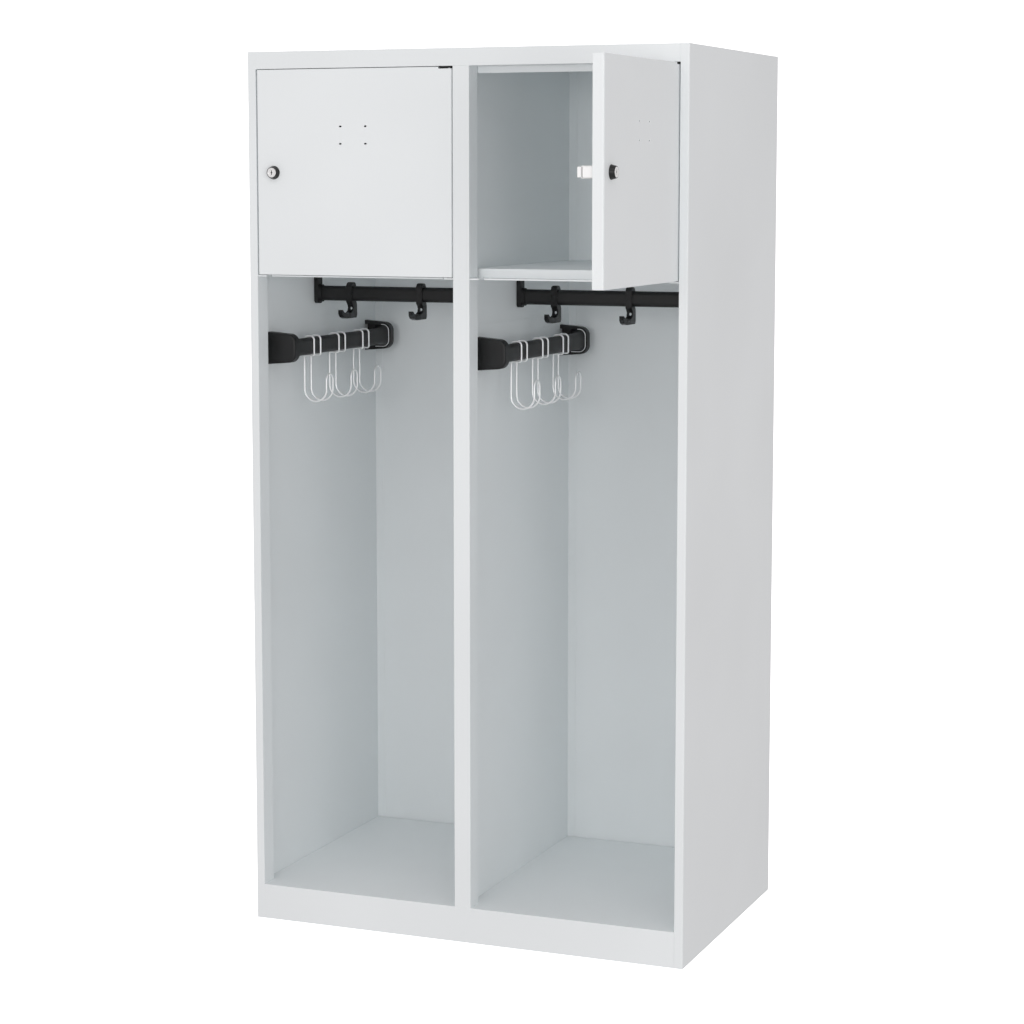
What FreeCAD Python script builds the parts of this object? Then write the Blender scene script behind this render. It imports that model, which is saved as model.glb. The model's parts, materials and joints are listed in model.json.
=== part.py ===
import FreeCAD, Part
import math
import os
import Sketcher
from FreeCAD import Placement, Rotation
from FreeCAD import Vector as V

# Double open-front steel locker for fire-service clothing.
# Millimetres. +Z is up, the front looks along -Y, and the origin is the middle
# of the footprint on the floor. The right helmet door stands open at 90 degrees.

doc = FreeCAD.newDocument("locker")
sheet = doc.addObject("Spreadsheet::Sheet", "dims")

DIMS = [
    # carcass
    ("width", 940), ("depth", 600), ("height", 1800), ("skin", 0.8), ("bend", 1.6),
    ("crisp", 0.7), ("stile", 18), ("stile_deep", 44), ("stile_lip", 5), ("stile_leg", 20), ("post_wide", 35),
    ("rear_flange", 19), ("front_flange", 12), ("fascia_top", 35), ("floor_z", 73),
    ("floor_gap", 2.4), ("plinth_fold", 30), ("rib_wide", 30), ("fix_x", 300), ("fix_z", 1740), ("fix_r", 4.5),
    # helmet shelves
    ("shelf_z", 1367), ("shelf_face", 20.7), ("shelf_set", 55), ("ledge_thick", 3),
    ("ledge_set", 12), ("tab_wide", 19), ("tab_notch", 7), ("shelf_flange", 15),
    # strips behind the fascia
    ("strip_drop", 13.2), ("strip_fold", 6),
    # doors
    ("door_wide", 430), ("door_tall", 413.2), ("door_thick", 22), ("door_low", 1350.5), ("door_lip", 12),
    ("pivot_in", 8), ("door_round", 3), ("pin_r", 3), ("run_gap", 0.05), ("bush_r", 4.9), ("bush_flange_r", 6.2),
    ("bush_flange_thick", 0.9), ("plate_long", 17.5), ("pivot_plate", 4), ("notch", 3.8), ("notch_long", 28.5), ("pin_out", 4), ("pin_in", 16),
    ("label_dx", 55.4), ("label_dz", 34.5), ("label_up", 74.5), ("label_long", 5.6), ("label_r", 1.7),
    # locks
    ("lock_in", 37), ("rosette_r", 13.7), ("rosette_top_r", 10.9), ("rosette_out", 10), ("ring_r", 9.7), ("ring_out", 10.3),
    ("plug_r", 6.6), ("plug_out", 10.1), ("case_back", 42), ("case_half", 9.9), ("case_free", 3.5), ("case_hinge", 17),
    ("bolt_front", 44.6), ("bolt_back", 51.4), ("bolt_half", 9.4), ("bolt_free", 2.6), ("bolt_travel", 12), ("tail_r", 4.6),
    ("slot_wide", 1.7), ("slot_tall", 9.4), ("slot_deep", 7), ("slot_heart", 3.2),
    # hanging rails
    ("rail_tall", 32), ("rail_deep", 17), ("rail_wall", 1.6), ("rail_z", 1300), ("rail_end", 5.2),
    ("drop_wide", 9), ("drop_deep", 22), ("drop_low", 1278), ("drop_round", 7), ("drop_wall", 1),
    ("collar_long", 7), ("collar_rim", 2.4), ("drop_flange", 18), ("drop_flange_thick", 3), ("screw_r", 2), ("head_r", 4), ("head_thick", 2.4),
    # sliding rail hooks
    ("hook_wide", 13.5), ("hook_first", 84), ("hook_second", 248), ("hook_play", 0.3), ("hook_round", 3.5), ("hook_cheek", 4), ("eye_r", 3.1),
    # side arms
    ("arm_z", 1195), ("arm_tall", 36), ("arm_thick", 18), ("arm_off", 50), ("arm_front", -228), ("arm_rear", 262),
    ("cup_out", 64.5), ("cup_half", 33.6), ("cup_long", 21), ("cup_round", 19), ("cup_rim", 9), ("cup_side", 4.5), ("cup_end", 4), ("cup_soft", 4.5), ("cup_slope", 4.5), ("clip_r", 0.9),
    ("flare_long", 50), ("flare_half", 23.2), ("flare_in", 19), ("flare_out", 58.6),
    ("plate_thick", 1.4), ("plate_step", 0.9), ("plate_top", 1252), ("stud_r", 2.5), ("stud_long", 12), ("stud_dz", 29),
    # double wire hooks
    ("wire_r", 1.8), ("wire_play", 0.5), ("wire_gap", 30.5), ("wire_bend", 8), ("wire_turn", 4), ("jay_r", 25.5), ("jay_low", 118.5),
    ("jay_tip", 57), ("wire_pitch", 119),
]
for i, (name, value) in enumerate(DIMS, 1):
    sheet.set("A%d" % i, name)
    sheet.set("B%d" % i, str(value))
    sheet.setAlias("B%d" % i, name)
doc.recompute()


class Q:
    """A size with its value and the sheet formula it comes from."""

    def __init__(self, v, s):
        self.v, self.s = float(v), s

    @staticmethod
    def of(o):
        return o if isinstance(o, Q) else Q(o, "%.9g" % o if o >= 0 else "(%.9g)" % o)

    def _op(self, o, sign, f, flip=False):
        o = Q.of(o)
        a, b = (o, self) if flip else (self, o)
        return Q(f(a.v, b.v), "(%s %s %s)" % (a.s, sign, b.s))

    def __add__(self, o):
        return self._op(o, "+", lambda a, b: a + b)

    def __radd__(self, o):
        return self._op(o, "+", lambda a, b: a + b, True)

    def __sub__(self, o):
        return self._op(o, "-", lambda a, b: a - b)

    def __rsub__(self, o):
        return self._op(o, "-", lambda a, b: a - b, True)

    def __mul__(self, o):
        return self._op(o, "*", lambda a, b: a * b)

    __rmul__ = __mul__

    def __truediv__(self, o):
        return self._op(o, "/", lambda a, b: a / b)

    def __neg__(self):
        return Q(-self.v, "(0 - %s)" % self.s)


class Sizes:
    pass


p = Sizes()
for name, value in DIMS:
    setattr(p, name, Q(sheet.get(name), "dims." + name))

made = []  # the sub-parts, in order


def uid(name):
    n, k = name, 1
    while doc.getObject(n) is not None:
        k += 1
        n = "%s_%d" % (name, k)
    return n


def bind(o, prop, q):
    o.setExpression(prop, Q.of(q).s)


def seat(o, x, y, z):
    for k, q in zip("xyz", (x, y, z)):
        bind(o, "Placement.Base." + k, q)


def box(name, x0, x1, y0, y1, z0, z1):
    o = doc.addObject("Part::Box", uid(name))
    bind(o, "Length", Q.of(x1) - x0)
    bind(o, "Width", Q.of(y1) - y0)
    bind(o, "Height", Q.of(z1) - z0)
    seat(o, x0, y0, z0)
    return o


TURN = {
    "z": Rotation(),
    "x": Rotation(V(0, 1, 0), 90),
    "-x": Rotation(V(0, 1, 0), -90),
    "y": Rotation(V(1, 0, 0), -90),
    "-y": Rotation(V(1, 0, 0), 90),
    "-z": Rotation(V(1, 0, 0), 180),
}


def cyl(name, r, h, x, y, z, axis="z"):
    o = doc.addObject("Part::Cylinder", uid(name))
    o.Placement = Placement(V(0, 0, 0), TURN[axis])
    bind(o, "Radius", r)
    bind(o, "Height", h)
    seat(o, x, y, z)
    return o


def cone(name, r0, r1, h, x, y, z, axis="z"):
    o = doc.addObject("Part::Cone", uid(name))
    o.Placement = Placement(V(0, 0, 0), TURN[axis])
    bind(o, "Radius1", r0)
    bind(o, "Radius2", r1)
    bind(o, "Height", h)
    seat(o, x, y, z)
    return o


def fuse(name, parts):
    o = doc.addObject("Part::MultiFuse", uid(name))
    o.Shapes = parts
    o.Refine = True
    return o


def cut(name, base, tools):
    o = doc.addObject("Part::Cut", uid(name))
    o.Base = base
    o.Tool = tools[0] if len(tools) == 1 else fuse(name + "_tools", tools)
    return o


def common(name, a, b):
    o = doc.addObject("Part::Common", uid(name))
    o.Base, o.Tool = a, b
    return o


def group(name, parts):
    o = doc.addObject("Part::Compound", uid(name))
    o.Links = parts
    return o


def pick(shape, rule):
    """Numbers of the edges for which rule(edge, direction, middle) holds; straight edges only."""
    found = []
    for i, e in enumerate(shape.Edges, 1):
        if len(e.Vertexes) != 2 or e.Curve.TypeId != "Part::GeomLine":
            continue
        a, b = e.Vertexes[0].Point, e.Vertexes[1].Point
        d = (b - a).normalize() if (b - a).Length > 1e-9 else V()
        if rule(e, V(abs(d.x), abs(d.y), abs(d.z)), (a + b) * 0.5):
            found.append(i)
    return found


def soften(name, base, radius, rule):
    doc.recompute()
    found = pick(base.Shape, rule)
    if not found:
        raise RuntimeError("no edge to round on " + name)
    o = doc.addObject("Part::Fillet", uid(name))
    o.Base = base
    o.Edges = [(i, radius.v if isinstance(radius, Q) else radius, radius.v if isinstance(radius, Q) else radius) for i in found]
    return o


def near(a, b, tol=0.02):
    return abs(a - (b.v if isinstance(b, Q) else b)) < tol


def rounded(name, axis, r, *corners):
    """A bar with its four long edges rounded."""
    k = "xyz".index(axis)
    return soften(name, box(name + "_bar", *corners), r, lambda e, d, m: d[k] > 0.99)


def plane_of(body, role):
    return [f for f in body.Origin.OriginFeatures if f.Role == role][0]


def folded(name, role, points, length, outer=(), inner=(), crisp=(), bend_in=None, bend_out=None):
    """A sheet folded along its length: the section is drawn, padded, and its bends rounded."""
    body = doc.addObject("PartDesign::Body", uid(name))
    sk = body.newObject("Sketcher::SketchObject", uid(name + "_section"))
    sk.AttachmentSupport = [(plane_of(body, role), "")]
    sk.MapMode = "FlatFace"
    pts = [(Q.of(a), Q.of(b)) for a, b in points]
    n = len(pts)
    for i in range(n):
        a, b = pts[i], pts[(i + 1) % n]
        sk.addGeometry(Part.LineSegment(V(a[0].v, a[1].v, 0), V(b[0].v, b[1].v, 0)), False)
    for i in range(n):
        sk.addConstraint(Sketcher.Constraint("Coincident", i, 2, (i + 1) % n, 1))
    for i, (a, b) in enumerate(pts):
        for kind, q, line in (("DistanceX", a, -2), ("DistanceY", b, -1)):
            if abs(q.v) < 1e-9:
                sk.addConstraint(Sketcher.Constraint("PointOnObject", i, 1, line))
            else:
                c = sk.addConstraint(Sketcher.Constraint(kind, -1, 1, i, 1, q.v))
                sk.setExpression("Constraints[%d]" % c, q.s)
    pad = body.newObject("PartDesign::Pad", uid(name + "_pad"))
    pad.Profile = sk
    bind(pad, "Length", length)
    doc.recompute()
    tip = pad
    to2d = {"XY_Plane": lambda m: (m.x, m.y), "YZ_Plane": lambda m: (m.y, m.z), "XZ_Plane": lambda m: (m.x, m.z)}[role]
    along = {"XY_Plane": 2, "YZ_Plane": 0, "XZ_Plane": 1}[role]
    for which, radius in ((outer, bend_out or p.bend + p.skin), (inner, bend_in or p.bend), (crisp, p.crisp)):
        if not which:
            continue
        targets = [(pts[i][0].v, pts[i][1].v) for i in which]
        found = pick(
            tip.Shape,
            lambda e, d, m: d[along] > 0.99
            and any(abs(to2d(m)[0] - t[0]) < 0.02 and abs(to2d(m)[1] - t[1]) < 0.02 for t in targets),
        )
        if len(found) != len(targets):
            raise RuntimeError("%s: %d bends found of %d" % (name, len(found), len(targets)))
        f = body.newObject("PartDesign::Fillet", uid(name + "_bend"))
        f.Base = (tip, ["Edge%d" % i for i in found])
        bind(f, "Radius", radius)
        doc.recompute()
        tip = f
    body.Tip = tip
    return body


def part(label, o, placement=None):
    o.Label = label
    if placement is not None:
        o.Placement = placement
    made.append(o)
    return o


# ---- reference planes -------------------------------------------------------
hw = p.width / 2
hp = p.post_wide / 2
yf = -p.depth / 2
yb = p.depth / 2
yr = yb - p.skin  # rear of the folded walls: the back sheet lies behind them
ytop = p.height - p.skin
zfas = p.height - p.fascia_top
open_l = {"left": -hw + p.stile, "right": hp}
open_r = {"left": -hp, "right": hw - p.stile}
wall_l = {"left": -hw + p.skin, "right": Q.of(0) + p.skin}
wall_r = {"left": Q.of(0), "right": hw - p.skin}
SIDES = ("left", "right")
gap = (p.width / 2 - p.stile - hp - p.door_wide) / 2
pivot_x = {s: open_r[s] - gap - p.pivot_in for s in SIDES}
pivot_y = yf + p.pivot_in
door_mid = p.door_low + p.door_tall / 2

# ---- side walls, and front stiles with their return and lip -------------------
for s, m in (("left", 1), ("right", -1)):
    x0 = -hw * m
    y_leg = yf + p.stile_leg
    pts = [
        (x0, y_leg), (x0, yf), (x0 + p.stile * m, yf),
        (x0 + p.stile * m, yf + p.stile_deep), (x0 + (p.stile - p.stile_lip) * m, yf + p.stile_deep),
        (x0 + (p.stile - p.stile_lip) * m, yf + p.stile_deep - p.skin),
        (x0 + (p.stile - p.skin) * m, yf + p.stile_deep - p.skin), (x0 + (p.stile - p.skin) * m, yf + p.skin),
        (x0 + p.skin * m, yf + p.skin), (x0 + p.skin * m, y_leg),
    ]
    part("front_stile_" + s, folded("stile_" + s, "XY_Plane", pts, ytop, outer=(1, 3), inner=(6, 8), crisp=(2,)))
    wall = box("side_" + s, *((-hw, -hw + p.skin) if m > 0 else (hw - p.skin, hw)), y_leg, yr, 0, ytop)
    if s == "left":
        holes = [
            cyl("arm_hole", p.stud_r + 0.05, 4, -hw - 1, y, p.arm_z + dz, "x")
            for y in (p.arm_front + p.cup_long / 2, p.arm_rear - p.cup_long / 2)
            for dz in (p.stud_dz, -p.stud_dz)
        ]
        wall = cut("side_left_cut", wall, holes)
    part("side_panel_" + s, wall)

# ---- back sheet with hemmed edges and two wall-fixing holes -------------------
back = fuse("back_folds", [
    box("back_sheet", -hw, hw, yr, yb, 0, ytop),
    box("back_hem", -hw + p.skin + 0.1, -hw + p.rear_flange, yr - p.skin, yr, 0, ytop),
    box("back_hem", hw - p.rear_flange, hw - p.skin - 0.1, yr - p.skin, yr, 0, ytop),
])
back = cut("back_cut", back, [cyl("fix", p.fix_r, 5, x, yr - 2, p.fix_z, "y") for x in (-p.fix_x, p.fix_x)])
part("back_panel", back)

# ---- top: sheet, fascia, return over the doors ------------------------------
inner = hw - p.stile
top = fuse("top_folds", [
    box("top_sheet", -hw, hw, yf, yb, ytop, p.height),
    box("top_fascia", -inner, inner, yf, yf + p.skin, zfas, p.height),
    box("top_return", -inner, inner, yf, yf + p.stile_deep, zfas, zfas + p.skin),
    box("top_lip", -inner, inner, yf + p.stile_deep - p.skin, yf + p.stile_deep, zfas, zfas + p.stile_lip),
])
top = soften("top_edges", top, 0.6, lambda e, d, m: (near(m.z, p.height) and (near(abs(m.x), hw) or near(abs(m.y), yb))) or (d.x > 0.99 and near(m.z, zfas) and (near(m.y, yf) or near(m.y, yf + p.stile_deep))))
top = cut("top_cut", top, [cyl("top_pivot", p.bush_r + p.run_gap, 4, pivot_x[s], pivot_y, zfas - 1) for s in SIDES])
part("top_panel", top)

# ---- base: floor folded down into the plinth front --------------------------
y_in = yf + p.stile_deep + 0.6
y_end = yr - p.skin - p.floor_gap
base = fuse("base_folds", [
    box("floor_front", -inner, inner, yf, y_in + 1, p.floor_z - p.skin, p.floor_z),
    box("floor_rear", -hw + p.skin + 0.1, hw - p.skin - 0.1, y_in, y_end, p.floor_z - p.skin, p.floor_z),
    box("plinth_front", -inner, inner, yf, yf + p.skin, 0, p.floor_z),
    box("plinth_return", -inner, inner, yf, yf + p.plinth_fold, 0, p.skin),
    box("plinth_rear", -hw + p.skin + 0.1, hw - p.skin - 0.1, y_end - p.skin, y_end, 0, p.floor_z),
    box("plinth_rear_return", -hw + p.skin + 0.1, hw - p.skin - 0.1, y_end - p.plinth_fold, y_end, 0, p.skin),
])
base = soften("base_edges", base, 0.6, lambda e, d, m: d.x > 0.99 and near(m.y, yf))
part("base_panel", base)
rib = fuse("rib_folds", [
    box("rib_sole", -p.rib_wide / 2, p.rib_wide / 2, yf + p.plinth_fold + 0.5, y_end - p.plinth_fold - 0.5, 0, p.skin),
    box("rib_web_a", -p.rib_wide / 2, -p.rib_wide / 2 + p.skin, yf + p.plinth_fold + 0.5, y_end - p.plinth_fold - 0.5, 0, p.floor_z - p.skin),
    box("rib_web_b", p.rib_wide / 2 - p.skin, p.rib_wide / 2, yf + p.plinth_fold + 0.5, y_end - p.plinth_fold - 0.5, 0, p.floor_z - p.skin),
])
part("plinth_rib", rib)

# ---- centre post and partition ----------------------------------------------
pts = [
    (-hp, yf), (hp, yf), (hp, yf + p.stile_deep), (hp - p.stile_lip, yf + p.stile_deep),
    (hp - p.stile_lip, yf + p.stile_deep - p.skin), (hp - p.skin, yf + p.stile_deep - p.skin), (hp - p.skin, yf + p.skin),
    (-hp + p.skin, yf + p.skin), (-hp + p.skin, yf + p.stile_deep - p.skin), (-hp + p.stile_lip, yf + p.stile_deep - p.skin),
    (-hp + p.stile_lip, yf + p.stile_deep), (-hp, yf + p.stile_deep),
]
post = folded("post", "XY_Plane", pts, zfas - p.floor_z, outer=(2, 11), inner=(5, 8), crisp=(0, 1))
seat(post, 0, 0, p.floor_z)
part("centre_post", post)

y1 = yf + p.skin
pts = [
    (0, y1), (p.front_flange, y1), (p.front_flange, y1 + p.skin), (p.skin, y1 + p.skin),
    (p.skin, yr - p.skin), (p.rear_flange, yr - p.skin), (p.rear_flange, yr), (0, yr),
]
web = folded("partition", "XY_Plane", pts, ytop - p.floor_z, outer=(0, 7), inner=(3, 4))
seat(web, 0, 0, p.floor_z)
tools = [box("partition_notch", -2, p.front_flange + 2, yf, yf + p.stile_deep + 1, zfas, p.height + 1)]
tools += [
    cyl("arm_hole", p.stud_r + 0.05, 4, -2, y, p.arm_z + dz, "x")
    for y in (p.arm_front + p.cup_long / 2, p.arm_rear - p.cup_long / 2)
    for dz in (p.stud_dz, -p.stud_dz)
]
# the two shelves are folded against the partition, so it runs through whole
part("centre_partition", cut("partition_cut", web, tools))

# ---- helmet shelves -----------------------------------------------------------
ys = yf + p.shelf_set
z_ledge = p.shelf_z - p.shelf_face
y_back = yr - p.skin - 1.8
for s in SIDES:
    a, b = wall_l[s] + 0.05, wall_r[s] - 0.05
    lo, ro = open_l[s] + 0.5, open_r[s] - 0.5
    zt = p.shelf_z - p.skin
    shelf = fuse("shelf_folds_" + s, [
        box("shelf_sheet", a, b, ys, y_back, zt, p.shelf_z),
        box("shelf_face", a, b, ys, ys + p.skin, z_ledge, p.shelf_z),
        box("shelf_ledge", lo + p.tab_wide + p.tab_notch, ro - p.tab_wide - p.tab_notch, yf + p.ledge_set, ys + p.skin, z_ledge, z_ledge + p.ledge_thick),
        box("shelf_tab_l", lo, lo + p.tab_wide, yf + 1, ys + p.skin, z_ledge, z_ledge + p.ledge_thick),
        box("shelf_tab_r", ro - p.tab_wide, ro, yf + 1, ys + p.skin, z_ledge, z_ledge + p.ledge_thick),
        box("shelf_hem_back", a, b, y_back - p.skin, y_back, zt - p.shelf_flange, zt),
        box("shelf_hem_l", a, a + p.skin, ys, y_back, zt - p.shelf_flange, zt),
        box("shelf_hem_r", b - p.skin, b, ys, y_back, zt - p.shelf_flange, zt),
    ])
    shelf = soften("shelf_edges_" + s, shelf, 0.7, lambda e, d, m: d.x > 0.99 and ((near(m.y, ys) and near(m.z, p.shelf_z)) or (m.y < ys.v - 5)))
    shelf = cut("shelf_cut_" + s, shelf, [
        cyl("shelf_pivot", p.bush_r + p.run_gap, 10, pivot_x[s], pivot_y, z_ledge - 3),
        cyl("shelf_screw", p.screw_r + 0.05, 4, wall_l[s] + p.drop_wall + p.drop_wide + p.drop_flange / 2, 0, zt - 1),
        cyl("shelf_screw", p.screw_r + 0.05, 4, wall_r[s] - p.drop_wall - p.drop_wide - p.drop_flange / 2, 0, zt - 1),
    ])
    part("shelf_" + s, shelf)

# ---- header strips: close the rear of the fascia's return and hang a little below it ----
for s in SIDES:
    a, b = open_l[s] + 0.3, open_r[s] - 0.3
    y0 = yf + p.stile_deep
    z0 = zfas - p.strip_drop
    strip = fuse("strip_folds_" + s, [
        box("strip_drop", a, b, y0, y0 + p.skin, z0, zfas + p.stile_lip),
        box("strip_fold", a, b, y0, y0 + p.strip_fold, z0, z0 + p.skin),
    ])
    strip = soften("strip_edge_" + s, strip, 0.5, lambda e, d, m: d.x > 0.99 and near(m.z, z0) and near(m.y, y0))
    part("header_strip_" + s, strip)

# ---- pivot bushes: the upper one has a flat plate under the fascia's return ---------
for s in SIDES:
    x, y = pivot_x[s], pivot_y
    tl = z_ledge + p.ledge_thick
    plate = rounded("bush_plate", "z", 1.5, x - p.plate_long, x + p.pivot_in + 0.5, yf + 0.8, y + p.pivot_in, zfas - p.pivot_plate, zfas)
    upper = cut("bush_upper", fuse("bush_upper_body", [
        cyl("bush_barrel", p.bush_r, 3.4, x, y, zfas - 0.2),
        plate,
    ]), [cyl("bush_bore", p.pin_r + p.run_gap, 14, x, y, zfas - 6)])
    lower = cut("bush_lower", fuse("bush_lower_body", [
        cyl("bush_barrel", p.bush_r, p.ledge_thick + 0.2, x, y, z_ledge),
        cyl("bush_flange", p.bush_flange_r, p.bush_flange_thick, x, y, tl),
    ]), [cyl("bush_bore", p.pin_r + p.run_gap, 14, x, y, z_ledge - 5)])
    part("hinge_bushes_" + s, group("bushes_" + s, [upper, lower]))

# ---- doors: modelled about the pivot, outside looking along -y ------------------
dl = -(p.door_wide - p.pivot_in)  # free edge
dr = Q.of(0) + p.pivot_in
df = -p.pivot_in  # face
db = p.door_thick - p.pivot_in  # rear of the folds
dz = p.door_tall / 2
lx = dl + p.lock_in
case_y = df + p.case_back
for s in SIDES:
    turn = Rotation(V(0, 0, 1), 0 if s == "left" else 90)
    at = Placement(V(pivot_x[s].v, pivot_y.v, door_mid.v), turn)
    solid = box("door_block", dl, dr, df, db, -dz, dz)
    solid = soften("door_corners_" + s, solid, p.door_round, lambda e, d, m: d.z > 0.99 and near(m.y, df))
    solid = soften("door_edges_" + s, solid, 1.2, lambda e, d, m: d.x > 0.99 and near(m.y, df))
    t = p.skin
    tools = [
        box("door_hollow", dl + t, dr - t, df + t, db - t, -dz + t, dz - t),
        box("door_mouth", dl + p.door_lip, dr - p.door_lip, db - t - 1, db + 1, -dz + p.door_lip, dz - p.door_lip),
        box("door_case_gap", dl + t + 0.6, dl + p.door_lip + 1, db - t - 1, db + 1, -p.case_half - 0.6, p.case_half + 0.6),
        box("door_notch", dr - p.notch_long, dr + 1, df - 1, db + 1, dz - p.notch, dz + 1),
        cyl("door_lock_hole", p.ring_r + 0.1, 4, lx, df - 1, 0, "y"),
    ]
    cx = (dl + dr) / 2
    for sx in (-1, 1):
        for sz in (-1, 1):
            x, z = cx + p.label_dx / 2 * sx, p.label_up + p.label_dz / 2 * sz
            half = p.label_long / 2 - p.label_r
            tools += [
                cyl("label_end", p.label_r, 4, x - half, df - 1, z, "y"),
                cyl("label_end", p.label_r, 4, x + half, df - 1, z, "y"),
                box("label_mid", x - half, x + half, df - 1, df + 3, z - p.label_r, z + p.label_r),
            ]
    # the upper hinge corner is set down so that the door swings under the pivot plate
    zn = dz - p.notch
    pan = fuse("door_folds_" + s, [
        cut("door_pan_" + s, solid, tools),
        rounded("notch_floor", "z", p.door_round - 0.4, dr - p.notch_long - t - 3, dr - 0.4, df + 0.4, db - 0.4, zn - t, zn),
        box("notch_riser", dr - p.notch_long - t, dr - p.notch_long, df + 0.4, db - 0.4, zn - t, dz - 0.2),
    ])
    part("door_panel_" + s, cut("door_bored_" + s, pan, [cyl("door_pin_hole", p.pin_r + 0.02, p.door_tall + 10, 0, 0, -dz - 5)]), at)

    pins = []
    for sign in (1, -1):
        if sign > 0:
            shaft = cyl("pin_shaft", p.pin_r, p.pin_in + p.pin_out, 0, 0, dz - p.pin_in)
            head = cyl("pin_head", p.pin_r + 2, 2, 0, 0, dz - p.notch - t - 2.02)
        else:
            shaft = cyl("pin_shaft", p.pin_r, p.pin_in + p.pin_out, 0, 0, -dz - p.pin_out)
            head = cyl("pin_head", p.pin_r + 2, 2, 0, 0, -dz + t + 0.02)
        pins.append(fuse("pin", [shaft, head]))
    part("hinge_pins_" + s, group("pins_" + s, pins), at)

    rosette = cut("rosette_" + s, cone("rosette_cone", p.rosette_r, p.rosette_top_r, p.rosette_out, lx, df, 0, "-y"),
                  [cyl("rosette_bore", p.ring_r + 0.1, p.rosette_out + 4, lx, df + 2, 0, "-y")])
    doc.recompute()
    f = doc.addObject("Part::Fillet", uid("rosette_soft_" + s))
    f.Base = rosette
    f.Edges = [(i, 0.5, 0.5) for i, e in enumerate(rosette.Shape.Edges, 1)
               if e.Curve.TypeId == "Part::GeomCircle" and near(e.Curve.Center.y, df - p.rosette_out) and near(e.Curve.Radius, p.rosette_top_r)]
    part("lock_rosette_" + s, f, at)

    ring = cut("ring_" + s, cyl("ring_body", p.ring_r, p.ring_out + t, lx, df + t, 0, "-y"),
               [cyl("ring_bore", p.plug_r + p.run_gap, p.ring_out + t + 4, lx, df + t + 2, 0, "-y")])
    doc.recompute()
    f = doc.addObject("Part::Fillet", uid("ring_soft_" + s))
    f.Base = ring
    f.Edges = [(i, 0.35, 0.35) for i, e in enumerate(ring.Shape.Edges, 1)
               if e.Curve.TypeId == "Part::GeomCircle" and near(e.Curve.Center.y, df - p.ring_out)]
    part("lock_ring_" + s, f, at)

    case = box("case_block", dl + p.case_free, lx + p.case_hinge, df + t + 0.02, case_y, -p.case_half, p.case_half)
    case = soften("case_edges_" + s, case, 1.0, lambda e, d, m: near(m.y, case_y) or (d.y > 0.99))
    ears = []
    for sz in (1, -1):
        z0, z1 = (p.case_half - 0.8, p.case_half + 1.6) if sz > 0 else (-p.case_half - 1.6, -p.case_half + 0.8)
        ears.append(box("case_ear", lx - 8, lx + p.case_hinge - 2, case_y - 8, df + p.bolt_back + 2.4, z0, z1))
        z2, z3 = (p.case_half - 4, p.case_half + 1) if sz > 0 else (-p.case_half - 1, -p.case_half + 4)
        ears.append(box("case_clip", lx - 8, lx + p.case_hinge - 2, df + p.bolt_back + 0.8, df + p.bolt_back + 2.4, z2, z3))
    case = fuse("case_body_" + s, [case] + ears)
    case = cut("case_" + s, case, [
        cyl("case_bore", p.plug_r + p.run_gap, 80, lx, df - 2, 0, "y"),
        box("case_bolt_way", lx - 30, lx + 60, df + p.bolt_front - 0.4, df + p.bolt_back + 0.4, -p.bolt_half - 0.4, p.bolt_half + 0.4),
    ])
    part("lock_case_" + s, case, at)

    plug = fuse("plug_body_" + s, [
        cyl("plug_barrel", p.plug_r, p.case_back + p.plug_out + 1, lx, df - p.plug_out, 0, "y"),
        cyl("plug_tail", p.tail_r, p.bolt_back - p.case_back - 1.2, lx, case_y + 0.5, 0, "y"),
    ])
    heart = box("key_heart", -p.slot_heart / 2, p.slot_heart / 2, -p.slot_deep, p.slot_deep, -p.slot_heart / 2, p.slot_heart / 2)
    heart.Placement = Placement(V(), Rotation(V(0, 1, 0), 45))
    h = p.slot_heart / 2 * math.sqrt(2)
    seat(heart, lx - h, df - p.plug_out - p.slot_deep, 0)
    plug = cut("plug_" + s, plug, [
        box("key_slot", lx - p.slot_wide / 2, lx + p.slot_wide / 2, df - p.plug_out - 1, df - p.plug_out + p.slot_deep, -p.slot_tall / 2, p.slot_tall / 2),
        heart,
    ])
    part("lock_plug_" + s, plug, at)

    bolt = box("bolt_bar", dl + p.bolt_free, lx + p.bolt_travel + p.tail_r + 4, df + p.bolt_front, df + p.bolt_back, -p.bolt_half, p.bolt_half)
    bolt = soften("bolt_edges_" + s, bolt, 0.8, lambda e, d, m: near(m.x, dl + p.bolt_free) or d.x > 0.99)
    bolt = cut("bolt_" + s, bolt, [
        box("bolt_window", lx - p.tail_r - 0.4, lx + p.bolt_travel + p.tail_r + 0.4, df, df + 80, -p.tail_r - 0.4, p.tail_r + 0.4)])
    part("lock_bolt_" + s, bolt, at)

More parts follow.
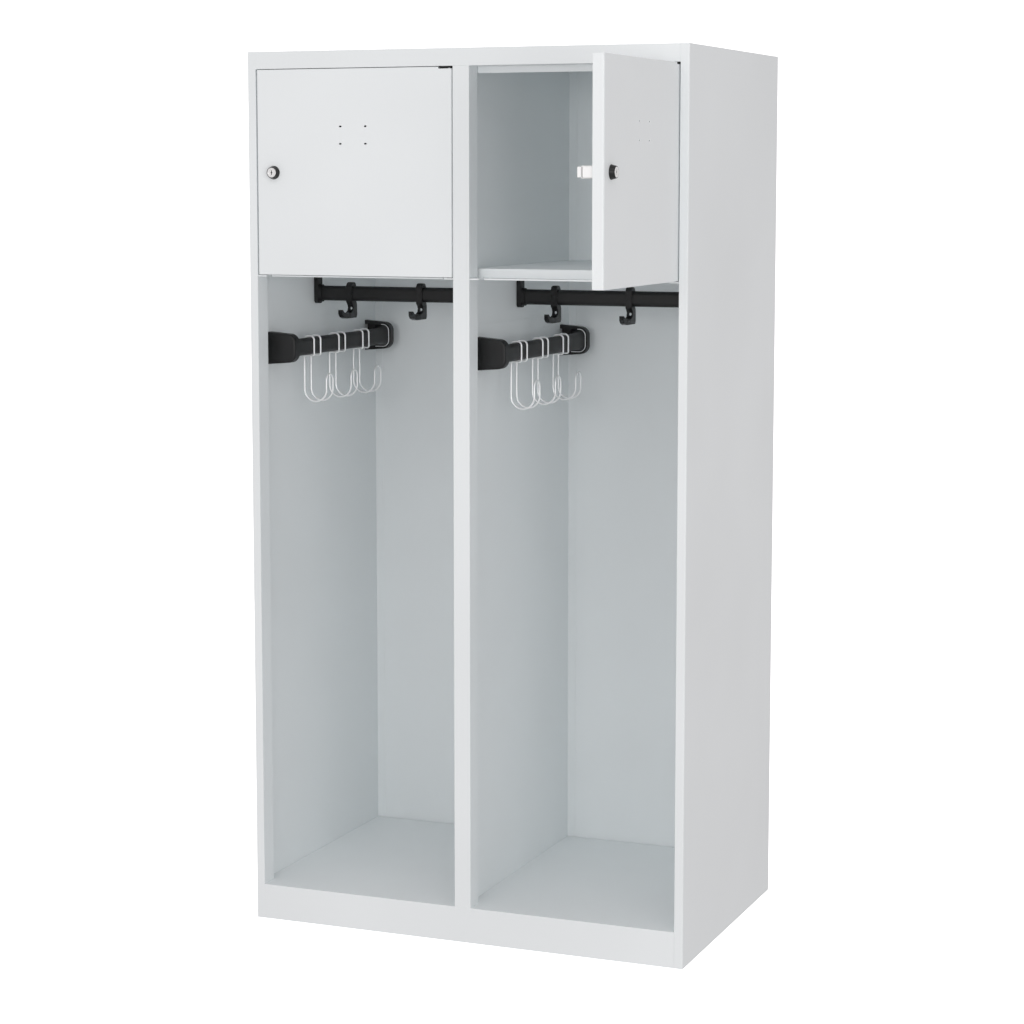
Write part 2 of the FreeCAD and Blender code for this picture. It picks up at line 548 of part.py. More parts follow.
# ---- hanging rails, drop brackets, screws ---------------------------------------
rt, rd = p.rail_tall / 2, p.rail_deep / 2
rr = rd - 0.1
screws = []
for s in SIDES:
    a, b = wall_l[s], wall_r[s]
    rail = rounded("rail_" + s, "x", rr, a + p.rail_end, b - p.rail_end, -rd, rd, p.rail_z - rt, p.rail_z + rt)
    w = p.rail_wall
    rail = cut("rail_tube_" + s, rail, [rounded("rail_core_" + s, "x", rr - w, a, b, -rd + w, rd - w, p.rail_z - rt + w, p.rail_z + rt - w)])
    part("hanging_rail_" + s, rail)
    for end, m, x0 in (("outer" if s == "left" else "inner", 1, a), ("inner" if s == "left" else "outer", -1, b)):
        def span(u, v):
            return (x0 + u, x0 + v) if m > 0 else (x0 - v, x0 - u)

        d0, d1 = span(p.drop_wall, p.drop_wall + p.drop_wide)
        c0, c1 = span(p.drop_wall + p.drop_wide - 1, p.drop_wall + p.drop_wide + p.collar_long)
        f0, f1 = span(p.drop_wall + p.drop_wide - 1, p.drop_wall + p.drop_wide + p.drop_flange)
        h0, h1 = span(p.rail_end - 0.2, p.rail_end + 40)
        dd = p.drop_deep / 2
        drop = soften("drop_round", box("drop", d0, d1, -dd, dd, p.drop_low, p.shelf_z - p.skin), p.drop_round,
                      lambda e, d, mm: d.x > 0.99 and near(mm.z, p.drop_low))
        rim = p.collar_rim
        collar = rounded("collar", "x", rr + rim, c0, c1, -rd - rim, rd + rim, p.rail_z - rt - rim, p.rail_z + rt + rim)
        flange = box("drop_flange", f0, f1, -dd, dd, p.shelf_z - p.skin - p.drop_flange_thick, p.shelf_z - p.skin)
        xs = x0 + (p.drop_wall + p.drop_wide + p.drop_flange / 2) * m
        body = fuse("drop_body", [drop, collar, flange])
        body = cut("drop_cut", body, [
            rounded("drop_bore", "x", rr + 0.1, h0, h1, -rd - 0.1, rd + 0.1, p.rail_z - rt - 0.1, p.rail_z + rt + 0.1),
            cyl("drop_screw", p.screw_r + 0.05, 20, xs, 0, p.shelf_z - 12),
        ])
        part("rail_bracket_%s_%s" % (s, end), body)
        zh = p.shelf_z - p.skin - p.drop_flange_thick - p.head_thick
        screws.append(fuse("rail_screw", [
            cyl("screw_head", p.head_r, p.head_thick, xs, 0, zh),
            cyl("screw_shank", p.screw_r, p.head_thick + p.drop_flange_thick + p.skin, xs, 0, zh),
        ]))
part("rail_screws", group("rail_screw_set", screws))

# ---- sliding rail hooks: the side view is drawn and padded along the rail ---------
HOOK = [
    (-5.5, 24.5), (5.5, 24.5), (11.0, 16.5), (11.4, -17.0), (14.5, -23.0), (15.0, -46.0), (12.0, -52.0),
    (-34.0, -52.0), (-47.0, -48.5), (-56.0, -40.5), (-59.0, -34.5), (-57.0, -32.5), (-51.0, -32.8),
    (-44.0, -38.5), (-30.0, -41.0), (-14.0, -40.5), (-4.5, -36.0), (-2.5, -29.5), (-5.0, -24.0), (-11.2, -18.0), (-11.0, 16.5),
]
PLAN = [
    (-6.75, 30.0), (-6.75, -16.0), (-5.2, -44.0), (-4.6, -54.0), (-3.2, -57.6), (-1.2, -59.2),
    (1.2, -59.2), (3.2, -57.6), (4.6, -54.0), (5.2, -44.0), (6.75, -16.0), (6.75, 30.0),
]
for s in SIDES:
    for k, off in (("a", p.hook_first), ("b", p.hook_second)):
        x0 = wall_l[s] + off - p.hook_wide / 2
        name = "rail_hook_%s_%s" % (s, k)
        profile = folded(name + "_side", "YZ_Plane", HOOK, p.hook_wide)
        for radius, verts in ((2.2, (5, 6, 8, 9)), (1.0, (10, 11, 12))):
            targets = [HOOK[i] for i in verts]
            tip = profile.Tip
            found = pick(tip.Shape, lambda e, d, m: d.x > 0.99 and any(abs(m.y - t[0]) < 0.02 and abs(m.z - t[1]) < 0.02 for t in targets))
            f = profile.newObject("PartDesign::Fillet", uid(name + "_soft"))
            f.Base = (tip, ["Edge%d" % i for i in found])
            f.Radius = radius
            doc.recompute()
            profile.Tip = f
        seat(profile, x0, 0, p.rail_z)
        # from above the arm narrows to a round tip, and from the front the clip has a round head
        plan = folded(name + "_plan", "XY_Plane", [(p.hook_wide / 2 + u, Q.of(v)) for u, v in PLAN], 90)
        seat(plan, x0, 0, p.rail_z - 62)
        shape = common(name + "_taper", profile, plan)
        head = rounded(name + "_head", "y", p.hook_round, x0, x0 + p.hook_wide, -80, 40, p.rail_z - 80, p.rail_z + 24.5)
        shape = common(name + "_domed", shape, head)
        q = p.hook_play
        hole = rounded(name + "_way", "x", rr + q, x0 - 5, x0 + p.hook_wide + 5, -rd - q, rd + q, p.rail_z - rt - q, p.rail_z + rt + q)
        # the stem is hollow behind its front plate, which has an eye in it
        well = box(name + "_well", x0 - 1, x0 + p.hook_wide - p.hook_cheek, 1.5, 20, p.rail_z - 44, p.rail_z - 25)
        eye = cyl(name + "_eye", p.eye_r, 30, x0 + p.hook_wide / 2 + 0.8, -20, p.rail_z - 31.5, "y")
        part(name, cut(name + "_cut", shape, [hole, well, eye]))

# ---- side arms: oval bar with flared ends, end cups, wall plates -------------------
studs = []


def ring_wire(x0, x1, zh, r, y):
    """Rounded rectangle in a plane across the arm."""
    c, k = [], math.sqrt(0.5)
    xs, zs = (x0 + r, x1 - r), (-zh + r, zh - r)
    P = lambda x, z: V(x, y, z)
    seg = [
        Part.LineSegment(P(xs[0], zh), P(xs[1], zh)),
        Part.Arc(P(xs[1], zh), P(xs[1] + r * k, zs[1] + r * k), P(x1, zs[1])),
        Part.LineSegment(P(x1, zs[1]), P(x1, zs[0])),
        Part.Arc(P(x1, zs[0]), P(xs[1] + r * k, zs[0] - r * k), P(xs[1], -zh)),
        Part.LineSegment(P(xs[1], -zh), P(xs[0], -zh)),
        Part.Arc(P(xs[0], -zh), P(xs[0] - r * k, zs[0] - r * k), P(x0, zs[0])),
        Part.LineSegment(P(x0, zs[0]), P(x0, zs[1])),
        Part.Arc(P(x0, zs[1]), P(xs[0] - r * k, zs[1] + r * k), P(xs[0], zh)),
    ]
    return Part.Wire([g.toShape() for g in seg])


def arm_shape():
    t0, t1 = p.arm_off.v - p.arm_thick.v / 2, p.arm_off.v + p.arm_thick.v / 2
    r = p.arm_thick.v / 2 - 0.3
    y0, y1 = p.arm_front.v + p.cup_end.v + 0.2, p.arm_rear.v - p.cup_end.v - 0.2
    n, L = 6, p.flare_long.v
    pieces = []
    for ya, sign in ((y0, 1), (y1, -1)):
        wires = []
        for i in range(n + 1):
            u = i / n
            w = 0.5 + 0.5 * math.cos(math.pi * u)  # 1 at the wall end, 0 where the plain bar begins
            wires.append(ring_wire(
                t0 + (p.flare_in.v - t0) * w, t1 + (p.flare_out.v - t1) * w,
                p.arm_tall.v / 2 + (p.flare_half.v - p.arm_tall.v / 2) * w, r + 2.0 * w, ya + sign * L * u))
        pieces.append(Part.makeLoft(wires, True, False))
    bar = Part.Face(ring_wire(t0, t1, p.arm_tall.v / 2, r, y0 + L)).extrude(V(0, y1 - y0 - 2 * L, 0))
    return bar.fuse(pieces).removeSplitter()


def clip_shape():
    """Bent wire that lies round the mouth of the rear cup: x away from the wall, z up."""
    rw = p.clip_r.v
    y = p.arm_rear.v - p.cup_long.v - rw - 0.02
    x1 = p.cup_out.v - p.cup_side.v + 0.5
    zh = p.cup_half.v - p.cup_rim.v - 0.1
    r = p.cup_round.v - p.cup_side.v - 0.3
    k = math.sqrt(0.5)
    xs, zs = x1 - r, zh - r
    P = lambda x, z: V(x, y, z)
    seg = [
        Part.LineSegment(P(28, -zh), P(xs, -zh)),
        Part.Arc(P(xs, -zh), P(xs + r * k, -zs - r * k), P(x1, -zs)),
        Part.LineSegment(P(x1, -zs), P(x1, zs)),
        Part.Arc(P(x1, zs), P(xs + r * k, zs + r * k), P(xs, zh)),
        Part.LineSegment(P(xs, zh), P(xs - 4, zh)),
    ]
    path = Part.Wire([g.toShape() for g in seg])
    circle = Part.Wire([Part.Circle(P(28, -zh), V(1, 0, 0), rw).toShape()])
    solid = path.makePipeShell([circle], True, False)
    if abs(solid.Volume - math.pi * rw * rw * path.Length) > 0.03 * solid.Volume:
        raise RuntimeError("the clip's volume is not its section times its length")
    return solid


clips = []
for s in SIDES:
    a = wall_l[s]
    arm = doc.addObject("Part::Feature", "arm_" + s)
    arm.Shape = arm_shape()
    part("side_arm_" + s, arm, Placement(V(a.v, 0, p.arm_z.v), Rotation()))
    for end, y_out, m in (("front", p.arm_front, 1), ("rear", p.arm_rear, -1)):
        def along(u, v):
            return (y_out + u, y_out + v) if m > 0 else (y_out - v, y_out - u)

        c0, c1 = along(0, p.cup_long)
        k0, k1 = along(p.cup_end, p.cup_long + 5)
        # away from the wall the cup gets a little less tall
        shaves = []
        for sz in (1, -1):
            w = box("cup_shave", a, a + 100, c0 - 1, c1 + 1, 0, 20)
            w.Placement = Placement(V(), Rotation(V(0, 1, 0), p.cup_slope.v * sz))
            tilt = math.radians(p.cup_slope.v)
            if sz > 0:
                seat(w, a, c0 - 1, p.arm_z + p.cup_half)
            else:
                seat(w, a + 20 * math.sin(tilt), c0 - 1, p.arm_z - p.cup_half - 20 * math.cos(tilt))
            shaves.append(w)
        cup = cut("cup_wedge", box("cup", a + 0.02, a + p.cup_out, c0, c1, p.arm_z - p.cup_half, p.arm_z + p.cup_half), shaves)
        cup = soften("cup_round", cup, p.cup_round, lambda e, d, mm: d.y > 0.99 and near(mm.x, a + p.cup_out))
        doc.recompute()
        f = doc.addObject("Part::Fillet", uid("cup_soft"))
        f.Base = cup
        f.Edges = [(i, p.cup_soft.v, p.cup_soft.v) for i, e in enumerate(cup.Shape.Edges, 1)
                   if abs(e.CenterOfMass.y - y_out.v) < 0.02 and e.BoundBox.YLength < 0.01 and e.BoundBox.XMax > a.v + 1]
        core = soften("cup_core", box("cup_core_bar", a - 5, a + p.cup_out - p.cup_side, k0, k1, p.arm_z - p.cup_half + p.cup_rim, p.arm_z + p.cup_half - p.cup_rim),
                      p.cup_round - p.cup_side, lambda e, d, mm: d.y > 0.99 and near(mm.x, a + p.cup_out - p.cup_side))
        ym = y_out + p.cup_long / 2 * m
        holes = [cyl("cup_stud", p.stud_r + 0.05, p.stud_long + 1, a - 1, ym, p.arm_z + q, "x") for q in (p.stud_dz, -p.stud_dz)]
        part("arm_bracket_%s_%s" % (s, end), cut("cup_cut", f, [core] + holes))
        studs += [cyl("stud", p.stud_r, p.stud_long - 0.2 + p.skin, a - p.skin, ym, p.arm_z + q, "x") for q in (p.stud_dz, -p.stud_dz)]
    y_a, y_b = p.arm_front + p.cup_long + 0.3, p.arm_rear - p.cup_long - 0.3
    zt = p.arm_z + p.cup_half + 0.2
    plate = fuse("plate_" + s, [
        box("plate_low", a, a + p.plate_thick, y_a, y_b, p.arm_z - p.cup_half, zt),
        box("plate_high", a, a + p.plate_step, yf + p.stile_deep + 8, yr - p.skin - 2, zt - 0.01, p.plate_top),
    ])
    part("arm_plate_" + s, plate)
    clip = doc.addObject("Part::Feature", "clip_" + s)
    clip.Shape = clip_shape()
    clip.Placement = Placement(V(a.v, 0, p.arm_z.v), Rotation())
    clips.append(clip)
part("arm_screws", group("arm_stud_set", studs))
part("arm_clips", group("arm_clip_set", clips))

# ---- double wire hooks: one bent wire round the arm, down, and up into a joined tip --


def wire_shape():
    """Bent wire about the arm's own axis: x away from the wall, y along the arm, z up."""
    rw = p.wire_r.v
    hx = p.arm_thick.v / 2 + p.wire_play.v + rw
    hz = p.arm_tall.v / 2 + p.wire_play.v + rw
    r, q, R = p.wire_bend.v, p.wire_turn.v, p.jay_r.v
    y = p.wire_gap.v / 2
    k = math.sqrt(0.5)
    zj = -p.jay_low.v + R + rw  # centre of the hook's bend
    tip = -p.jay_tip.v - rw
    z_end = -hz + 2 * rw + 1.0

    def side(yy):
        P = lambda x, z: V(x, yy, z)
        return [
            Part.LineSegment(P(-hx, z_end), P(-hx, hz - r)),
            Part.Arc(P(-hx, hz - r), P(-hx + r - r * k, hz - r + r * k), P(-hx + r, hz)),
            Part.LineSegment(P(-hx + r, hz), P(hx - r, hz)),
            Part.Arc(P(hx - r, hz), P(hx - r + r * k, hz - r + r * k), P(hx, hz - r)),
            Part.LineSegment(P(hx, hz - r), P(hx, -hz + q)),
            Part.Arc(P(hx, -hz + q), P(hx - q + q * k, -hz + q - q * k), P(hx - q, -hz)),
            Part.LineSegment(P(hx - q, -hz), P(-hx + q, -hz)),
            Part.Arc(P(-hx + q, -hz), P(-hx + q - q * k, -hz - q + q * k), P(-hx, -hz - q)),
            Part.LineSegment(P(-hx, -hz - q), P(-hx, zj)),
            Part.Arc(P(-hx, zj), P(-hx + R, zj - R), P(-hx + 2 * R, zj)),
            Part.LineSegment(P(-hx + 2 * R, zj), P(-hx + 2 * R, tip - y)),
        ]

    xt = -hx + 2 * R
    bow = Part.Arc(V(xt, -y, tip - y), V(xt, 0, tip), V(xt, y, tip - y))
    one = [g.toShape() for g in side(-y)]
    two = [g.toShape() for g in side(y)]
    path = Part.Wire(Part.__sortEdges__(one + [bow.toShape()] + two))
    start = V(-hx, -y, z_end)
    circle = Part.Wire([Part.Circle(start, V(0, 0, 1), rw).toShape()])
    solid = path.makePipeShell([circle], True, False)
    length = path.Length
    if abs(solid.Volume - math.pi * rw * rw * length) > 0.03 * solid.Volume:
        raise RuntimeError("the wire's volume is not its section times its length")
    return solid


wire = wire_shape()
for s in SIDES:
    for k, y in (("front", -p.wire_pitch), ("middle", Q.of(0)), ("rear", Q.of(0) + p.wire_pitch)):
        o = doc.addObject("Part::Feature", "wire_%s_%s" % (s, k))
        o.Shape = wire.copy()
        part("wire_hook_%s_%s" % (s, k), o, Placement(V((wall_l[s] + p.arm_off).v, y.v, p.arm_z.v), Rotation()))

# ---- check and write ----------------------------------------------------------------
doc.recompute()
for o in doc.Objects:
    if "Invalid" in o.State or "Error" in o.State:
        raise RuntimeError("failed object %s %s" % (o.Name, o.State))
os.makedirs("parts", exist_ok=True)
labels = set()
for o in made:
    if o.Shape.isNull() or not o.Shape.isValid():
        raise RuntimeError("bad shape " + o.Label)
    if o.Label in labels or not o.Shape.Solids:
        raise RuntimeError("bad sub-part " + o.Label)
    labels.add(o.Label)
for o in made:
    o.Shape.exportStep("parts/%s.step" % o.Label)
    bb = o.Shape.BoundBox
    print("%-26s solids %d  vol %9.1f  x %8.2f %8.2f  y %8.2f %8.2f  z %8.2f %8.2f" % (
        o.Label, len(o.Shape.Solids), o.Shape.Volume, bb.XMin, bb.XMax, bb.YMin, bb.YMax, bb.ZMin, bb.ZMax))
print(len(made), "sub-parts")
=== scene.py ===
import json
import math

import bpy
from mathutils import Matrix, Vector

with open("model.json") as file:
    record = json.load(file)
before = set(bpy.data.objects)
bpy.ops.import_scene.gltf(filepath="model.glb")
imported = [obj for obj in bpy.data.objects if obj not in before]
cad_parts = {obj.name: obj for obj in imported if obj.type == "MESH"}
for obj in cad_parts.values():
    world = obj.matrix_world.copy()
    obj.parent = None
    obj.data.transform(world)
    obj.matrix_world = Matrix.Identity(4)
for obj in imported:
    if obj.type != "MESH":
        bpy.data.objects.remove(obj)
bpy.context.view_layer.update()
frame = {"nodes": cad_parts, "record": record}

nodes = frame["nodes"]
scene = bpy.context.scene


# ---- material helpers ----------------------------------------------------------


class Mat:
    """A small builder for one procedural material."""

    def __init__(self, name):
        self.m = bpy.data.materials.new(name)
        self.m.use_nodes = True
        self.nt = self.m.node_tree
        self.nt.nodes.clear()
        self.out = self.nt.nodes.new("ShaderNodeOutputMaterial")
        self.bsdf = self.nt.nodes.new("ShaderNodeBsdfPrincipled")
        self.link(self.bsdf.outputs["BSDF"], self.out.inputs["Surface"])
        self.coord = self.nt.nodes.new("ShaderNodeTexCoord").outputs["Object"]

    def link(self, a, b):
        self.nt.links.new(a, b)

    def set(self, **values):
        for k, v in values.items():
            self.bsdf.inputs[k.replace("_", " ")].default_value = v
        return self

    def stretch(self, scale):
        n = self.nt.nodes.new("ShaderNodeMapping")
        n.inputs["Scale"].default_value = scale
        self.link(self.coord, n.inputs["Vector"])
        return n.outputs["Vector"]

    def noise(self, scale, detail=2.0, rough=0.5, at=None, distortion=0.0):
        n = self.nt.nodes.new("ShaderNodeTexNoise")
        n.inputs["Scale"].default_value = scale
        n.inputs["Detail"].default_value = detail
        n.inputs["Roughness"].default_value = rough
        n.inputs["Distortion"].default_value = distortion
        self.link(at or self.coord, n.inputs["Vector"])
        return n.outputs["Fac"]

    def cells(self, scale, at=None):
        n = self.nt.nodes.new("ShaderNodeTexVoronoi")
        n.inputs["Scale"].default_value = scale
        self.link(at or self.coord, n.inputs["Vector"])
        return n.outputs["Distance"]

    def ramp(self, fac, *stops):
        n = self.nt.nodes.new("ShaderNodeValToRGB")
        els = n.color_ramp.elements
        while len(els) < len(stops):
            els.new(0.5)
        for e, (pos, col) in zip(els, stops):
            e.position = pos
            e.color = col if len(col) == 4 else (*col, 1.0)
        self.link(fac, n.inputs["Fac"])
        return n.outputs["Color"]

    def span(self, fac, lo, hi, a=0.3, b=0.7):
        n = self.nt.nodes.new("ShaderNodeMapRange")
        n.inputs["From Min"].default_value = a
        n.inputs["From Max"].default_value = b
        n.inputs["To Min"].default_value = lo
        n.inputs["To Max"].default_value = hi
        self.link(fac, n.inputs["Value"])
        return n.outputs["Result"]

    def math(self, op, a, b):
        n = self.nt.nodes.new("ShaderNodeMath")
        n.operation = op
        for s, v in zip(n.inputs, (a, b)):
            if isinstance(v, (int, float)):
                s.default_value = v
            else:
                self.link(v, s)
        return n.outputs["Value"]

    def mix(self, fac, a, b, kind="MIX"):
        n = self.nt.nodes.new("ShaderNodeMix")
        n.data_type = "RGBA"
        n.blend_type = kind
        for s, v in ((n.inputs[0], fac), (n.inputs[6], a), (n.inputs[7], b)):
            if isinstance(v, (int, float)):
                s.default_value = v
            elif isinstance(v, tuple):
                s.default_value = v if len(v) == 4 else (*v, 1.0)
            else:
                self.link(v, s)
        return n.outputs[2]

    def color(self, socket):
        self.link(socket, self.bsdf.inputs["Base Color"])
        return self

    def rough(self, socket):
        self.link(socket, self.bsdf.inputs["Roughness"])
        return self

    def bump(self, height, strength, distance):
        n = self.nt.nodes.new("ShaderNodeBump")
        n.inputs["Strength"].default_value = strength
        n.inputs["Distance"].default_value = distance
        self.link(height, n.inputs["Height"])
        self.link(n.outputs["Normal"], self.bsdf.inputs["Normal"])
        return self


def powder_coat(name, tone, seed):
    """Baked powder paint: even grey with a slow drift in tone, fine specks and orange peel."""
    m = Mat(name)
    at = m.nt.nodes.new("ShaderNodeMapping")
    at.inputs["Location"].default_value = (seed * 1.7, seed * 0.9, seed * 2.3)
    m.link(m.coord, at.inputs["Vector"])
    at = at.outputs["Vector"]
    drift = m.noise(2.2, 2.0, 0.5, at)
    speck = m.noise(2600.0, 1.0, 0.5, at)
    peel = m.noise(420.0, 2.0, 0.45, at)
    lo = tuple(c * 0.975 for c in tone)
    hi = tuple(min(1.0, c * 1.02) for c in tone)
    base = m.ramp(drift, (0.30, lo), (0.70, hi))
    fine = m.ramp(speck, (0.30, (0.955,) * 3), (0.62, (1.0,) * 3))
    m.color(m.mix(1.0, base, fine, "MULTIPLY"))
    m.rough(m.span(m.math("ADD", m.math("MULTIPLY", drift, 0.5), m.math("MULTIPLY", peel, 0.5)), 0.40, 0.52, 0.35, 0.65))
    m.bump(m.math("ADD", m.math("MULTIPLY", peel, 0.8), m.math("MULTIPLY", speck, 0.2)), 0.10, 0.0003)
    m.set(Specular_IOR_Level=0.42, IOR=1.5)
    return m.m


def moulded(name, dark, light, rough_lo, rough_hi, grain=1600.0, depth=0.12, spec=0.5):
    """Injection-moulded plastic with a fine spark-eroded grain and slow sheen changes."""
    m = Mat(name)
    slow = m.noise(18.0, 3.0, 0.55)
    grit = m.noise(grain, 2.0, 0.6)
    pits = m.cells(grain * 0.8)
    m.color(m.ramp(m.math("ADD", m.math("MULTIPLY", slow, 0.6), m.math("MULTIPLY", grit, 0.4)), (0.34, dark), (0.66, light)))
    m.rough(m.span(m.math("ADD", m.math("MULTIPLY", slow, 0.6), m.math("MULTIPLY", grit, 0.4)), rough_lo, rough_hi, 0.35, 0.65))
    m.bump(m.math("ADD", m.math("MULTIPLY", grit, 0.6), m.math("MULTIPLY", pits, 0.4)), depth, 0.0002)
    m.set(Specular_IOR_Level=spec, IOR=1.5)
    return m.m


def metal(name, dark, light, rough_lo, rough_hi, along=(1.0, 1.0, 1.0), fine=900.0, depth=0.05, metallic=1.0):
    """Plated metal with faint drawing or turning marks."""
    m = Mat(name)
    at = m.stretch(along)
    marks = m.noise(fine, 3.0, 0.6, at)
    cloud = m.noise(60.0, 2.0, 0.5)
    m.color(m.ramp(m.math("ADD", m.math("MULTIPLY", marks, 0.5), m.math("MULTIPLY", cloud, 0.5)), (0.32, dark), (0.68, light)))
    m.rough(m.span(m.math("ADD", m.math("MULTIPLY", marks, 0.6), m.math("MULTIPLY", cloud, 0.4)), rough_lo, rough_hi, 0.35, 0.65))
    m.bump(marks, depth, 0.0001)
    m.set(Metallic=metallic)
    return m.m


def keyed(name, node, axis, outward):
    """The lock's plug: bright turned face, with painted shade (near-black colour) in the key slot below the face.
    """
    m = Mat(name)
    ends = [v.co[axis] for v in node.data.vertices]
    face = max(ends) if outward > 0 else min(ends)
    sep = m.nt.nodes.new("ShaderNodeSeparateXYZ")
    m.link(m.coord, sep.inputs["Vector"])
    depth = m.math("MULTIPLY", m.math("SUBTRACT", face, sep.outputs[axis]), float(outward))
    # Painted shade: deeper than 0.3 to 0.8 mm below the plug face the colour blends to near-black, standing in for
    # the shade in the key slot.
    slot_shade = m.span(depth, 0.0, 1.0, 0.0003, 0.0008)
    marks = m.noise(1400.0, 3.0, 0.6)
    bright = m.ramp(marks, (0.32, (0.89, 0.89, 0.885)), (0.68, (0.96, 0.96, 0.955)))
    dark = m.ramp(marks, (0.32, (0.006, 0.006, 0.006)), (0.68, (0.014, 0.014, 0.014)))
    m.color(m.mix(slot_shade, bright, dark))
    m.rough(m.math("ADD", m.span(marks, 0.26, 0.36), m.math("MULTIPLY", slot_shade, 0.4)))
    m.bump(marks, 0.05, 0.0001)
    m.set(Metallic=0.55)
    return m.m


GREY = (0.828, 0.856, 0.864)
paint = {
    "carcass_paint": powder_coat("carcass_powder_coat", GREY, 1.0),
    "door_paint": powder_coat("door_powder_coat", GREY, 2.0),
    "plate_paint": powder_coat("plate_powder_coat", GREY, 3.0),
    "bush_plastic": moulded("bush_nylon", (0.006, 0.0062, 0.0065), (0.011, 0.0113, 0.0117), 0.45, 0.58, spec=0.3),
    "plated_steel": metal("zinc_plate", (0.55, 0.56, 0.57), (0.72, 0.73, 0.74), 0.26, 0.38),
    "rail_black": moulded("rail_black_satin", (0.006, 0.0062, 0.0065), (0.011, 0.0113, 0.0117), 0.36, 0.46, 1400.0, 0.08, 0.36),
    "bracket_black": moulded("bracket_black_grain", (0.006, 0.0062, 0.0065), (0.011, 0.0113, 0.0117), 0.42, 0.55, 1300.0, 0.16, 0.36),
    "arm_black": moulded("arm_black_grain", (0.007, 0.0073, 0.0077), (0.012, 0.0124, 0.0128), 0.42, 0.54, 1300.0, 0.16, 0.38),
    "hook_black": moulded("hook_black_gloss", (0.006, 0.0062, 0.0065), (0.010, 0.0103, 0.0107), 0.24, 0.34, 1500.0, 0.06, 0.36),
    "hook_wire": metal("bright_wire", (0.95, 0.955, 0.96), (0.98, 0.985, 0.99), 0.30, 0.36, (1.0, 1.0, 0.12), 500.0, 0.01, 0.45),
    "rosette_black": moulded("rosette_black_gloss", (0.006, 0.006, 0.0062), (0.010, 0.010, 0.0103), 0.24, 0.34, 1500.0, 0.05, 0.38),
    "lock_bright": metal("lock_nickel", (0.86, 0.86, 0.855), (0.95, 0.95, 0.945), 0.26, 0.36, (1.0, 1.0, 1.0), 1200.0, 0.05, 0.55),
    "lock_white": moulded("lock_white_plastic", (0.88, 0.88, 0.875), (0.93, 0.93, 0.925), 0.28, 0.38, 1500.0, 0.05),
}
for s in frame["record"]["subparts"]:
    o = nodes[s["node"]]
    o.data.materials.clear()
    o.data.materials.append(paint[s["material_slot"]])
# Each lock plug gets its own material with painted shade in the key slot.
for side, axis, outward in (("left", 1, -1), ("right", 0, 1)):
    o = nodes["lock_plug_" + side]
    o.data.materials[0] = keyed("lock_plug_bright_painted_slot_shade_" + side, o, axis, outward)


# ---- floor, light, camera ----------------------------------------------------------


def studio_bowl():
    """White surroundings: flat under the object, curving up all round far away. Only the camera sees it."""
    prof = [(0.0, -0.0005), (6.0, -0.0005), (11.0, -0.0005)]
    r = 3.0
    for i in range(1, 13):
        a = math.radians(90 * i / 12)
        prof.append((11.0 + r * math.sin(a), r - r * math.cos(a)))
    prof.append((11.0 + r, 14.0))
    turns = 64
    verts, faces = [(0.0, 0.0, prof[0][1])], []
    for d, z in prof[1:]:
        verts += [(d * math.cos(2 * math.pi * k / turns), d * math.sin(2 * math.pi * k / turns), z) for k in range(turns)]
    for k in range(turns):
        n = (k + 1) % turns
        faces.append((0, 1 + k, 1 + n))
        for i in range(len(prof) - 2):
            lo_, hi_ = 1 + i * turns, 1 + (i + 1) * turns
            faces.append((lo_ + k, hi_ + k, hi_ + n, lo_ + n))
    me = bpy.data.meshes.new("studio_bowl")
    me.from_pydata(verts, [], faces)
    for p in me.polygons:
        p.use_smooth = True
    o = bpy.data.objects.new("studio_bowl", me)
    scene.collection.objects.link(o)
    m = Mat("studio_white")
    m.color(m.ramp(m.noise(1.2, 2.0), (0.3, (0.90, 0.90, 0.90)), (0.7, (0.92, 0.92, 0.92))))
    m.set(Roughness=0.9, Specular_IOR_Level=0.1, Emission_Color=(1, 1, 1, 1), Emission_Strength=1.0)
    me.materials.append(m.m)
    o.visible_diffuse = o.visible_glossy = o.visible_transmission = o.visible_shadow = False
    return o


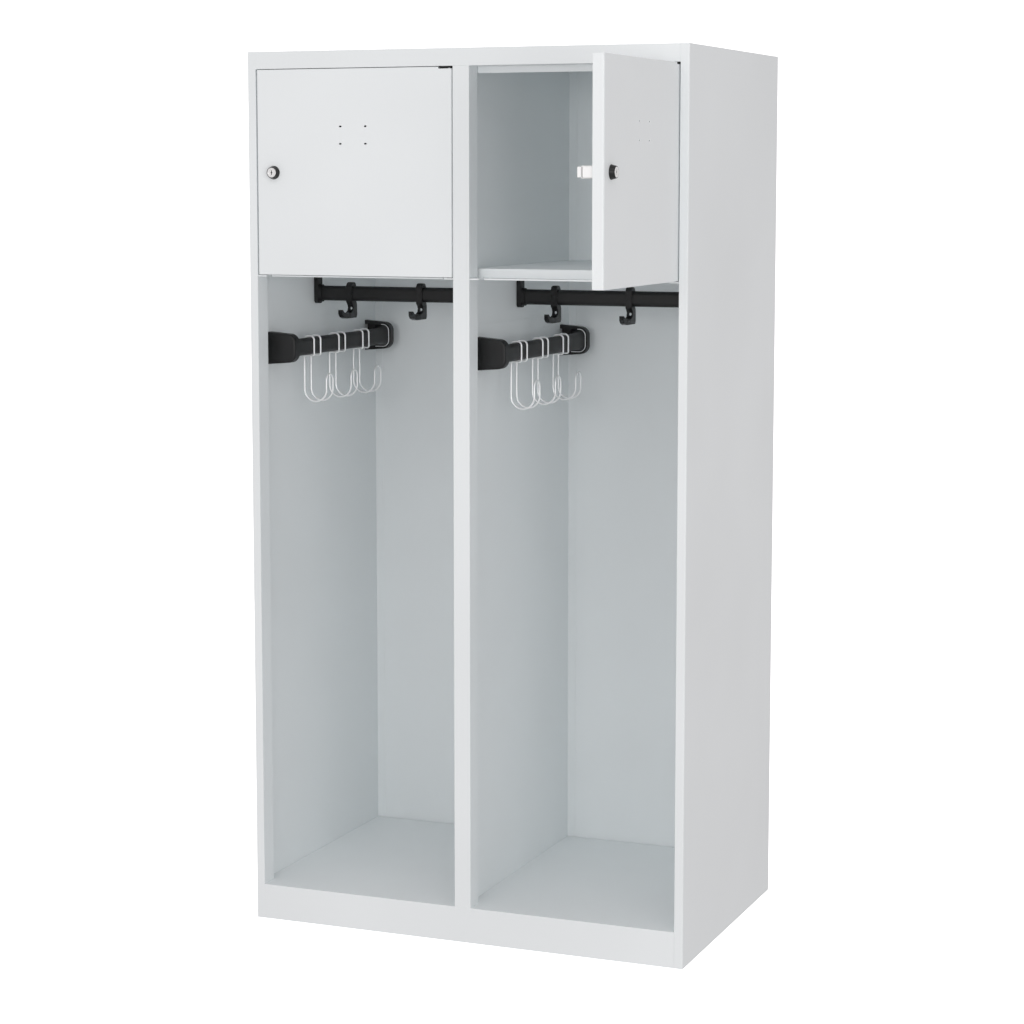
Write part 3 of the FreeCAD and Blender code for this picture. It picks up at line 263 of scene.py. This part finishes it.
studio_bowl()
scene.cycles.max_bounces = 20
scene.cycles.diffuse_bounces = 14

world = bpy.data.worlds.new("studio")
scene.world = world
world.use_nodes = True
bg = world.node_tree.nodes.get("Background") or world.node_tree.nodes.new("ShaderNodeBackground")
bg.inputs["Color"].default_value = (1.0, 0.978, 0.985, 1.0)
bg.inputs["Strength"].default_value = 0.645


def area(name, place, target, size, power, color=(1, 1, 1)):
    d = bpy.data.lights.new(name, "AREA")
    d.shape = "RECTANGLE"
    d.size, d.size_y = size
    d.energy = power
    d.color = color
    o = bpy.data.objects.new(name, d)
    o.location = place
    o.rotation_mode = "QUATERNION"
    o.rotation_quaternion = (Vector(target) - Vector(place)).to_track_quat("-Z", "Y")
    scene.collection.objects.link(o)
    return o


key = area("key_soft", (0.3, -2.5, 3.6), (0.0, -0.2, 0.9), (2.2, 1.4), 10.0)
fill = area("fill_right", (3.7, -4.0, 1.3), (0.0, 0.0, 0.95), (2.4, 2.0), 43.0)
front = area("fill_front", (0.5, -5.8, 1.85), (0.1, 0.0, 1.5), (1.6, 1.0), 44.0)
low = area("fill_low", (0.5, -4.2, 0.25), (-0.05, 0.1, 1.3), (2.6, 0.5), 1.0)
rear = area("fill_rear", (-1.2, 4.6, 2.8), (0.0, 0.2, 0.9), (2.4, 1.6), 34.0)
for lamp in (key, fill, front, low, rear):
    lamp.visible_camera = False

cam_data = bpy.data.cameras.new("view")
cam_data.lens = 87.908
cam_data.sensor_width = 36.0
cam_data.shift_y = -0.05
cam_data.clip_end = 100.0
cam = bpy.data.objects.new("view", cam_data)
yaw, pitch = math.radians(22.049), math.radians(6.492)
ahead = Vector((-math.sin(yaw) * math.cos(pitch), math.cos(yaw) * math.cos(pitch), -math.sin(pitch)))
cam.location = (1.9507, -4.8485, 1.5498)
cam.rotation_mode = "QUATERNION"
cam.rotation_quaternion = ahead.to_track_quat("-Z", "Y")
scene.collection.objects.link(cam)
scene.camera = cam

scene.view_settings.view_transform = "Standard"
scene.view_settings.look = "None"
